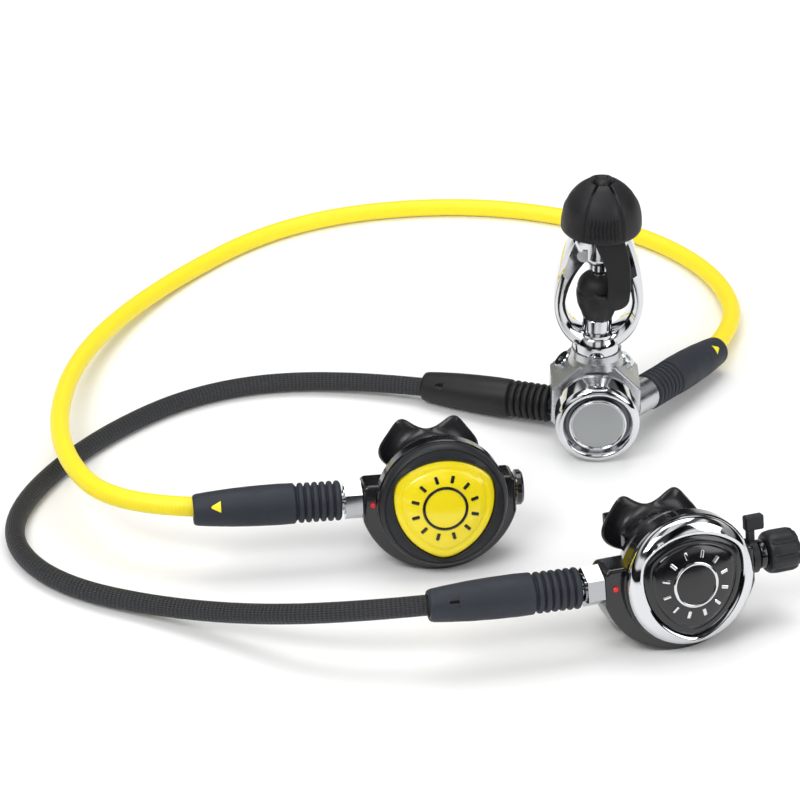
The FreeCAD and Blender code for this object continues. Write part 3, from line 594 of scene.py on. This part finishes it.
def knob():
    """Rubber bell with three raised and three sunk facets; the sunk ones carry wavy ribs."""
    round_knob = angles(540)
    rings = [[(0, 0, KNOB_RIM + 7)] * len(round_knob)]
    rings += lathe([(r, KNOB_RIM + h) for r, h in KNOB_LIP], len(round_knob))
    for bell, h in smooth_path(KNOB_PROFILE, 6):
        rings.append([knob_bell(bell, h, a) for a in round_knob])
    points, faces = skin(rings)
    piece("hand_wheel", points, faces, WORLD, "knob", "charcoal_rubber", ["yoke_knob"],
          BLACK_RUBBER, 60.0)
    button = softened([(4.5, 25.6), (4.4, 28.0), (3.4, 29.4), (1.6, 30.0), (0, 30.0)], 1.0, 4)
    turned("hand_wheel_button", [(r, KNOB_RIM + h) for r, h in button], 64, WORLD, "knob",
           "charcoal_rubber", material=BLACK_RUBBER)


def three_point_arc(a, b, c, steps=36):
    """Points on the circle arc from a through b to c, in two dimensions."""
    ax, az = a
    bx, bz = b
    cx, cz = c
    d = 2 * (ax * (bz - cz) + bx * (cz - az) + cx * (az - bz))
    aa, bb, cc = ax * ax + az * az, bx * bx + bz * bz, cx * cx + cz * cz
    ox = (aa * (bz - cz) + bb * (cz - az) + cc * (az - bz)) / d
    oz = (aa * (cx - bx) + bb * (ax - cx) + cc * (bx - ax)) / d
    r = math.hypot(ax - ox, az - oz)
    start, middle, end = (math.atan2(z - oz, x - ox) for x, z in (a, b, c))
    turn = (end - start) % (2 * math.pi)
    if (middle - start) % (2 * math.pi) > turn:
        turn -= 2 * math.pi
    along = [start + turn * i / steps for i in range(steps)]
    return [(ox + r * math.cos(t), oz + r * math.sin(t)) for t in along]


def loop_outline(half, floor, top_half, top):
    """Egg-shaped loop in X and Z: oval bottom, tapering sides, short top."""
    bottom_steps = 48
    top_steps = 12
    middle = (YOKE_WIDEST + top) / 2
    shoulder = top_half + (half - top_half) * SHOULDER_BOW
    outline = []
    for i in range(bottom_steps):
        a = math.pi * i / bottom_steps
        outline.append((-half * math.cos(a), YOKE_WIDEST - (YOKE_WIDEST - floor) * math.sin(a)))
    outline += three_point_arc((half, YOKE_WIDEST), (shoulder, middle), (top_half, top))
    outline += [(top_half - 2 * top_half * i / top_steps, top) for i in range(top_steps)]
    outline += three_point_arc((-top_half, top), (-shoulder, middle), (-half, YOKE_WIDEST))
    return outline


def polar_radius(outline, angle):
    """Distance from the loop's centre to its outline along an angle, by crossing each edge."""
    way = Vector((math.cos(angle), math.sin(angle)))
    best = 0.0
    for i, (x, z) in enumerate(outline):
        nx, nz = outline[(i + 1) % len(outline)]
        a = Vector((x, z - YOKE_CENTRE_Z))
        edge = Vector((nx - x, nz - z))
        cross = way.x * edge.y - way.y * edge.x
        if abs(cross) < 1e-9:
            continue
        t = (a.x * edge.y - a.y * edge.x) / cross
        u = (a.x * way.y - a.y * way.x) / cross
        if t > 0 and -1e-6 <= u <= 1 + 1e-6:
            best = max(best, t)
    return best


def yoke_section(out, inn):
    """Half of the loop's rounded section as (radius, depth): bevelled face, inner lip."""
    half = YOKE_HALF_DEPTH
    bevel = min(2.4, (out - inn) * 0.35)
    return [(out, -half + 3.4), (out - 0.5, -half + 1.6), (out - 1.7, -half + 0.5),
            (out - 2.6, -half), (inn + bevel + 0.4, -half), (inn + bevel, -half + 0.3),
            (inn + 0.5, -half + 1.9), (inn, -half + 2.8)]


def yoke_loop():
    """Forged loop, open at the top, inside the turned boss that takes the screw."""
    outer = loop_outline(YOKE_HALF, YOKE_BOTTOM, YOKE_TOP_HALF, YOKE_TOP)
    inner = loop_outline(WINDOW_HALF, WINDOW_FLOOR, WINDOW_TOP_HALF, WINDOW_TOP)
    count = 190
    gap = 9.8                   # degrees of the opening on each side
    bore = 6.3                  # clear round the screw
    bore_from = 110.0           # the height where it starts
    rings = []
    for i in range(count + 1):
        angle = math.radians(90.0 + gap + (360.0 - 2 * gap) * i / count)
        section = yoke_section(polar_radius(outer, angle), polar_radius(inner, angle))
        section += [(r, -y) for r, y in reversed(section)]
        ring = []
        for r, y in section:
            x = r * math.cos(angle)
            z = YOKE_CENTRE_Z + r * math.sin(angle)
            if z > bore_from:
                x = math.copysign(max(abs(x), bore), x)
            ring.append((x, y, z))
        rings.append(ring)
    points, faces = skin(rings, caps=True)
    piece("yoke_loop", points, faces, WORLD, "first_stage", "polished_chrome", ["yoke"],
          sharp=32.0)


def yoke():
    """The loop, the boss on top, the foot on the first stage and the rivet."""
    yoke_loop()
    boss = softened([(6.1, 112.5), (9.4, 112.5), (11.2, 116.0), (11.2, 130.6), (10.2, 132.3),
                     (6.1, 132.3), (6.1, 112.5)], 0.6)
    turned("yoke_boss", boss, 96, WORLD, "first_stage", "polished_chrome", ["yoke"])
    seat = softened([(8.7, 56.6), (13.4, 56.6), (13.4, 62.0), (11.6, 66.4), (8.7, 66.4)], 0.6)
    turned("yoke_foot", seat, 96, WORLD, "first_stage", "polished_chrome", ["yoke"])
    rivet = softened([(0, 0), (3.4, 0), (4.0, 0.6), (4.0, 1.6)], 0.3)
    place = facing(Vector((-9.2, -8.6, 118.6)) * MM, (0, 1, 0))
    turned("yoke_rivet", rivet, 40, place, "first_stage", "satin_chrome", ["yoke"])


def cap_piece(name, profile, slot, node, material=None, segments=160):
    """A piece turned about the spring cap's axis; heights run along +Y."""
    points, faces = skin(turn_to_y(lathe(profile, segments)))
    place = WORLD @ Matrix.Translation((0, 0, CAP_AXIS_Z))
    piece(name, points, faces, place, "first_stage", slot, [node], material)


def spring_cap():
    """Polished rim, a groove in near-black chrome that is painted shade, thin bright ring, then the
    recessed satin disc.
    """
    rim = [(22.8, -13.1), (22.9, -18.0), (22.2, -18.6), (23.7, -19.3), (23.7, -31.5),
           (23.0, -34.0), (21.2, -35.3), (19.7, -34.9), (18.7, -33.2), (17.3, -30.6),
           (16.3, -30.5), (16.3, -21.0)]
    cap_piece("cap_rim", softened(rim, 0.7, 4), "polished_chrome", "spring_cap")
    # The groove wears near-black chrome as painted shade in the recess.
    groove = [(19.4, -31.8), (18.4, -31.4), (17.0, -31.2), (16.2, -31.4)]
    cap_piece("cap_groove", groove, "polished_chrome", "spring_cap", PAINTED_SHADE_CHROME)
    ring = [(16.2, -30.0), (16.2, -33.6), (15.9, -34.4), (15.2, -34.6), (14.8, -34.2),
            (14.6, -33.8), (14.3, -33.7)]
    cap_piece("cap_disc_ring", softened(ring, 0.25), "polished_chrome", "cap_disc")
    face = [(14.35, -33.7), (8.0, -33.75), (0, -33.8)]
    cap_piece("cap_disc_face", face, "satin_chrome", "cap_disc", SATIN_DISC, 96)


def dust_cap():
    """Rubber bulb that sits on the first stage's seat."""
    bulb = softened([(0, 0.2), (8.6, 0.2), (9.2, 2.5), (11.6, 8.0), (12.5, 13.5), (12.4, 16.2),
                     (11.9, 16.8), (11.8, 18.0), (12.0, 19.0), (11.2, 22.2), (9.0, 25.0),
                     (6.0, 26.6), (3.8, 26.7), (3.2, 25.7), (0, 25.6)], 1.4, 4)
    turned("dust_plug", [(r, SEAT_TOP + h) for r, h in bulb], 96, WORLD, "dust_cap",
           "charcoal_rubber", ["dust_cap"], BLACK_RUBBER, 50.0)


# The strap's middle (X, Y, Z), half width, and the lean of its width in radians
STRAP_LINE = [
    (2.0, -9.0, 136.0, 8.4, 0.0), (2.8, -13.0, 135.3, 8.2, 0.0), (3.6, -14.8, 131.8, 7.9, 0.0),
    (6.4, -15.2, 124.5, 7.6, 0.1), (9.0, -15.4, 116.0, 6.9, 0.1), (10.2, -15.6, 106.0, 6.4, 0.0),
    (10.2, -15.8, 99.0, 6.2, 0.0), (9.4, -15.0, 94.0, 6.2, -0.1), (6.0, -13.4, 91.4, 5.6, -0.5),
    (0.5, -11.6, 91.2, 5.0, -0.9), (-4.0, -9.8, 93.4, 4.4, -1.1),
]
STRAP_HALF_THICKNESS = 1.1


def strap():
    """Rubber band from the eye round the screw, over the front and back into the cap."""
    path = smooth_path(STRAP_LINE, 9)
    thick = STRAP_HALF_THICKNESS
    rings = []
    for k, (x, y, z, half, lean) in enumerate(path):
        here = Vector((x, y, z))
        nearby = path[min(k + 1, len(path) - 1)], path[max(k - 1, 0)]
        way = (Vector(nearby[0][:3]) - Vector(nearby[1][:3])).normalized()
        across = Vector((math.cos(lean), 0, math.sin(lean)))
        across = (across - way * across.dot(way)).normalized()
        out = way.cross(across)
        section = [(-half + 0.5, thick), (-half, thick * 0.4), (-half, -thick * 0.4),
                   (-half + 0.5, -thick), (half - 0.5, -thick), (half, -thick * 0.4),
                   (half, thick * 0.4), (half - 0.5, thick)]
        rings.append([here + across * a + out * b for a, b in section])
    points, faces = skin(rings, caps=True)
    piece("dust_strap", points, faces, WORLD, "dust_cap", "charcoal_rubber",
          ["dust_cap_strap"], BLACK_RUBBER, 50.0)
    eye = softened([(6.5, 134.3), (10.0, 134.3), (10.0, 136.3), (6.5, 136.3), (6.5, 134.3)], 0.5)
    turned("dust_strap_eye", eye, 64, WORLD, "dust_cap", "charcoal_rubber",
           material=BLACK_RUBBER)


# ---- second stages, in a stage's own frame and millimetres ----
RING_R = 34.3
PANEL_R = 29.3
PANEL_ARC = 1.236               # radius of the panel's bowed sides, as shares of its own
PANEL_SHIFT = 0.372             # and how far their centres lie from the middle
PANEL_FIRMNESS = 1.1            # a bigger number makes its corners sharper
BUTTON_FRONT_Y = -10.0
BUTTON_BALL = 107.0             # radius of the ball that the button is bowed like
VENT_COUNT = 12
MOUTH_Z = 13.0
ADJUSTER_FOOT_X = 42.8
LOBE_COUNT = 8
LOBE_DEPTH = 1.5


def panel_edge(angle, radius):
    """Rounded three-sided outline: the smooth least of three arcs that bow the sides."""
    way = Vector((math.cos(angle), math.sin(angle)))
    arc = radius * PANEL_ARC
    total = 0.0
    for i in range(3):
        turn = math.radians(-90 + 120 * i)
        centre = Vector((math.cos(turn), math.sin(turn))) * radius * PANEL_SHIFT
        along = way.dot(centre)
        reach = along + math.sqrt(along ** 2 - centre.length_squared + arc ** 2)
        total += math.exp(-PANEL_FIRMNESS * reach)
    return -math.log(total) / PANEL_FIRMNESS


def polar_rings(levels, segments=240):
    """Rings about a stage's Y; a level's radius may depend on the angle, its Y on the radius."""
    rings = []
    for radius, y in levels:
        ring = []
        for a in angles(segments):
            r = radius(a) if callable(radius) else radius
            ring.append((r * math.cos(a), y(r) if callable(y) else y, r * math.sin(a)))
        rings.append(ring)
    return rings


def dome(r):
    """Front of the purge cover, bowed like a large ball."""
    return BUTTON_FRONT_Y + r * r / (2 * BUTTON_BALL)


def sunk(depth):
    return lambda r: dome(r) + depth


def cover_ring(stage):
    """Ring round the purge cover: sloping face, rounded rim, bevel down to the panel."""
    def opening(extra):
        return lambda a: panel_edge(a, PANEL_R + 0.4) + extra

    def blend_to(share, outer):
        return lambda a: panel_edge(a, PANEL_R + 0.4) * (1 - share) + outer * share

    levels = [(opening(0.0), -3.4), (opening(0.0), -6.2), (opening(0.3), -6.9),
              (opening(0.9), -7.25)]
    if stage == "primary":
        levels += [(opening(1.7), -7.5), (opening(2.0), -7.45), (blend_to(0.55, 31.5), -7.0),
                   (31.3, -6.2), (32.4, -5.5), (33.4, -4.2)]
    else:
        levels += [(opening(1.3), -7.3), (blend_to(0.6, 31.0), -6.9), (31.0, -6.3),
                   (31.25, -5.85), (31.7, -5.85), (31.9, -6.1), (32.6, -5.6), (33.6, -4.4)]
    levels += [(34.0, -3.2), (RING_R, -1.8), (RING_R, -0.1), (32.6, -0.06), (32.6, 3.9)]
    points, faces = skin(polar_rings(levels))
    node = stage + "_cover_ring"
    piece(stage + "_front_ring", points, faces, stage_place(stage), stage, SLOT_OF[node], [node],
          sharp=30.0)


def purge_cover(stage):
    """Domed three-sided button with a bevelled border and a raised middle."""
    def edge(share):
        return lambda a: panel_edge(a, PANEL_R) * share

    levels = [(edge(1.0), -3.8), (edge(1.0), sunk(1.1)), (edge(0.99), sunk(0.7)),
              (edge(0.965), sunk(0.45)), (edge(0.90), sunk(0.35)), (edge(0.86), sunk(0.5)),
              (edge(0.845), sunk(0.75)), (edge(0.825), sunk(0.7)), (edge(0.80), sunk(0.15)),
              (edge(0.78), sunk(0.0)), (edge(0.6), dome), (edge(0.4), dome), (edge(0.2), dome),
              (0.0, dome)]
    points, faces = skin(polar_rings(levels))
    node = stage + "_purge_cover"
    body = stage + "_purge"
    piece(stage + "_button", points, faces, stage_place(stage), body, SLOT_OF[node], [node],
          sharp=28.0)
    relief(stage, body)


def vent(angle):
    """Short raised bar on the button, pointing at its middle, blunt at both ends."""
    rows = []
    for r in (14.2, 14.5, 15.2, 16.4, 17.4, 18.1, 18.4):
        blunt = not 14.4 < r < 18.2
        half = 0.55 if blunt else 0.95
        drop = 0.35 if blunt else 0.0
        row = []
        for across, lift in ((-1.0, 0.1), (-0.9, -0.3), (-0.5, -0.5), (0.5, -0.5), (0.9, -0.3),
                             (1.0, 0.1)):
            z = across * half
            row.append((r * math.cos(angle) - z * math.sin(angle), dome(r) + lift + drop,
                        r * math.sin(angle) + z * math.cos(angle)))
        rows.append(row)
    return rows


def relief(stage, body):
    """Plain round rib and a ring of short vents on the button."""
    slot = "polished_chrome" if stage == "primary" else "gloss_black_plastic"
    rib = [(10.6, sunk(0.1)), (10.7, sunk(-0.35)), (11.1, sunk(-0.55)), (11.7, sunk(-0.55)),
           (12.1, sunk(-0.35)), (12.2, sunk(0.1))]
    points, faces = skin(polar_rings(rib, 120))
    for k in range(VENT_COUNT):
        join(points, faces, vent(2 * math.pi * (k + 0.5) / VENT_COUNT), closed=False)
    piece(stage + "_button_relief", points, faces, stage_place(stage), body, slot)


def bite_tab(side, near, far, tall):
    """Rings of a block with blunt edges, from its near and far corners in X and Y."""
    low = MOUTH_Z - tall
    high = MOUTH_Z + tall
    rings = []
    for z, inset in ((low, 0.8), (low + 0.6, 0.0), (high - 0.6, 0.0), (high, 0.8)):
        x0, y0 = near[0] + inset, near[1] + inset * 0.5
        x1, y1 = far[0] - inset, far[1] - inset * 0.5
        rings.append([(side * x0, y0, z), (side * x1, y0, z), (side * x1, y1, z),
                      (side * x0, y1, z)])
    return rings


def mouthpiece(stage):
    """Silicone duct, waisted, flaring to a curved lip shield with raised ends, and bite tabs."""
    def oval(width, height, y, horn=0.0, sweep=0.0):
        ring = []
        for a in angles(144):
            x = width / 2 * math.cos(a)
            lift = 0.5 * math.exp(-((abs(x) - 16.0) / 7.0) ** 2) - 0.22 * math.exp(-(x / 8.0) ** 2)
            rise = height / 2 * math.sin(a)
            if rise > 0:
                rise *= 1 + horn * lift
            ring.append((x, y + sweep * math.cos(a) ** 2, MOUTH_Z + rise))
        return ring

    rings = [oval(29.2, 18.2, 29.2), oval(33.2, 21.8, 29.2), oval(33.6, 22.2, 31.0),
             oval(33.4, 21.8, 39.0), oval(31.5, 19.5, 41.5), oval(30.0, 18.0, 44.0),
             oval(31.0, 19.0, 47.0), oval(36.0, 21.0, 49.6, 0.1), oval(46.0, 25.0, 51.0, 0.6, -1.0),
             oval(53.0, 27.5, 51.6, 1.0, -2.0), oval(55.0, 28.5, 52.6, 1.0, -1.8),
             oval(53.5, 27.6, 53.8, 1.0, -1.4), oval(44.0, 24.0, 54.0, 0.6, -0.6),
             oval(28.0, 15.5, 54.0), oval(25.0, 13.0, 53.4), oval(24.2, 12.6, 50.0),
             oval(24.2, 12.6, 40.0), oval(29.0, 18.0, 39.2), oval(29.2, 18.2, 29.2)]
    points, faces = skin(rings)
    for side in (-1, 1):
        join(points, faces, bite_tab(side, (13.6, 53.0), (20.4, 63.4), 1.4), caps=True)
        join(points, faces, bite_tab(side, (13.2, 62.8), (20.8, 65.8), 5.4), caps=True)
    piece(stage + "_mouth_bit", points, faces, stage_place(stage), stage, "black_silicone",
          [stage + "_mouthpiece"], sharp=50.0)


def adjuster_knob():
    """Glossy neck and a matte eight-lobed grip with a dished end."""
    neck = softened([(1.8, 0.0), (6.8, 0.0), (7.6, 0.9), (7.6, 3.6), (6.9, 4.6), (1.8, 4.6)], 0.5)
    place = barrel_place("primary", ADJUSTER_FOOT_X)
    node = "primary_adjuster_knob"
    turned("adjuster_neck", neck, 64, place, "primary_adjuster", "gloss_black_plastic", [node])
    profile = softened([(5.0, 4.5), (9.6, 4.5), (10.9, 6.0), (11.4, 9.5), (11.3, 18.4),
                        (10.4, 20.8), (8.6, 21.8), (7.6, 21.2), (0.0, 21.0)], 0.9, 4)
    rings = []
    for r, z in profile:
        depth = LOBE_DEPTH * smooth_step(z, 5.0, 8.0) * min(1.0, max(0.0, (r - 7.5) / 3.0))
        ring = []
        for a in angles(192):
            out = r - depth * max(0.0, math.cos(LOBE_COUNT * a)) ** 1.5
            ring.append((out * math.cos(a), out * math.sin(a), z))
        rings.append(ring)
    points, faces = skin(rings)
    piece("adjuster_grip", points, faces, place, "primary_adjuster", "matte_black_plastic",
          [node], sharp=50.0)


def second_stages():
    for stage in ("primary", "octopus"):
        cover_ring(stage)
        purge_cover(stage)
        mouthpiece(stage)
    adjuster_knob()


# ---- studio, in metres ----
CAMERA_PLACE = (-0.110508, -1.489540, 0.916376)
CAMERA_DOWN = 31.0              # degrees that it looks down
CAMERA_LENS = 137.52
FLOOR_HALF = 6.0
LIT_MIDDLE = (-0.1, -0.02, 0.03)
# Grey bands as (share of the way across, value), low to high and left to right
LOW_TO_HIGH = [
    (0.0, 0.3), (0.46, 0.5), (0.51, 0.02), (0.60, 0.02), (0.64, 0.9), (0.72, 1.0), (0.77, 0.03),
    (0.85, 0.05), (0.89, 1.0), (1.0, 0.8),
]
LEFT_TO_RIGHT = [
    (0.0, 0.2), (0.12, 1.0), (0.28, 1.0), (0.34, 0.12), (0.41, 0.15), (0.45, 1.0), (0.60, 1.0),
    (0.66, 0.10), (0.73, 0.15), (0.78, 1.0), (1.0, 0.3),
]


def camera():
    data = bpy.data.cameras.new("camera")
    data.sensor_width = 36.0
    data.lens = CAMERA_LENS
    made = bpy.data.objects.new("camera", data)
    made.location = CAMERA_PLACE
    made.rotation_euler = (math.radians(90.0 - CAMERA_DOWN), 0, 0)
    bpy.context.scene.collection.objects.link(made)
    bpy.context.scene.camera = made


def floor():
    mesh = bpy.data.meshes.new("floor")
    half = FLOOR_HALF
    mesh.from_pydata([(-half, -half, 0), (half, -half, 0), (half, half, 0), (-half, half, 0)],
                     [], [(0, 1, 2, 3)])
    made = bpy.data.objects.new("floor", mesh)
    bpy.context.scene.collection.objects.link(made)
    paint = Shader("floor_paint", (0.93, 0.93, 0.93), 0.7)
    mesh.materials.append(paint.material)


def light(name, place, size, power):
    """Rectangular soft light that faces the middle of the set."""
    data = bpy.data.lights.new(name, "AREA")
    data.shape = "RECTANGLE"
    data.size, data.size_y = size
    data.energy = power
    made = bpy.data.objects.new(name, data)
    made.location = place
    way = Vector(LIT_MIDDLE) - Vector(place)
    made.rotation_euler = way.to_track_quat("-Z", "Y").to_euler()
    bpy.context.scene.collection.objects.link(made)


def lights():
    light("key", (-0.9, -1.1, 1.6), (1.0, 0.8), 17.0)
    light("fill", (1.3, -0.9, 0.9), (0.8, 1.2), 8.0)
    light("top", (-0.1, 0.5, 1.9), (1.6, 1.0), 16.0)


def bands(tree, source, stops):
    """Soft grey bands along a source that runs from -1 to 1."""
    ramp = tree.nodes.new("ShaderNodeValToRGB")
    ramp.color_ramp.interpolation = "EASE"
    first, last = ramp.color_ramp.elements
    for element, (position, value) in ((first, stops[0]), (last, stops[-1])):
        element.position = position
        element.color = (value, value, value, 1)
    for position, value in stops[1:-1]:
        ramp.color_ramp.elements.new(position).color = (value, value, value, 1)
    half = tree.nodes.new("ShaderNodeMath")
    half.operation = "MULTIPLY_ADD"
    half.inputs[1].default_value = 0.5
    half.inputs[2].default_value = 0.5
    tree.links.new(source, half.inputs[0])
    tree.links.new(half.outputs[0], ramp.inputs[0])
    return ramp.outputs[0]


def world():
    """White room with soft dark bands, which only the reflections see."""
    made = bpy.data.worlds.new("studio")
    bpy.context.scene.world = made
    made.use_nodes = True
    tree = made.node_tree
    back = tree.nodes["Background"]
    back.inputs["Color"].default_value = (1, 1, 1, 1)
    back.inputs["Strength"].default_value = 0.55
    place = tree.nodes.new("ShaderNodeTexCoord")
    parts = tree.nodes.new("ShaderNodeSeparateXYZ")
    tree.links.new(place.outputs["Generated"], parts.inputs[0])
    both = tree.nodes.new("ShaderNodeVectorMath")
    both.operation = "MULTIPLY"
    tree.links.new(bands(tree, parts.outputs["Z"], LOW_TO_HIGH), both.inputs[0])
    tree.links.new(bands(tree, parts.outputs["X"], LEFT_TO_RIGHT), both.inputs[1])
    mirror = tree.nodes.new("ShaderNodeBackground")
    mirror.inputs["Strength"].default_value = 1.0
    tree.links.new(both.outputs[0], mirror.inputs["Color"])
    rays = tree.nodes.new("ShaderNodeLightPath")
    pick = tree.nodes.new("ShaderNodeMixShader")
    tree.links.new(rays.outputs["Is Glossy Ray"], pick.inputs[0])
    tree.links.new(back.outputs[0], pick.inputs[1])
    tree.links.new(mirror.outputs[0], pick.inputs[2])
    tree.links.new(pick.outputs[0], tree.nodes["World Output"].inputs["Surface"])


for node in frame["nodes"]:
    dress(node)
camera()
floor()
lights()
world()
hoses()
knob()
yoke()
spring_cap()
dust_cap()
strap()
second_stages()
bpy.context.scene.view_settings.view_transform = "Standard"
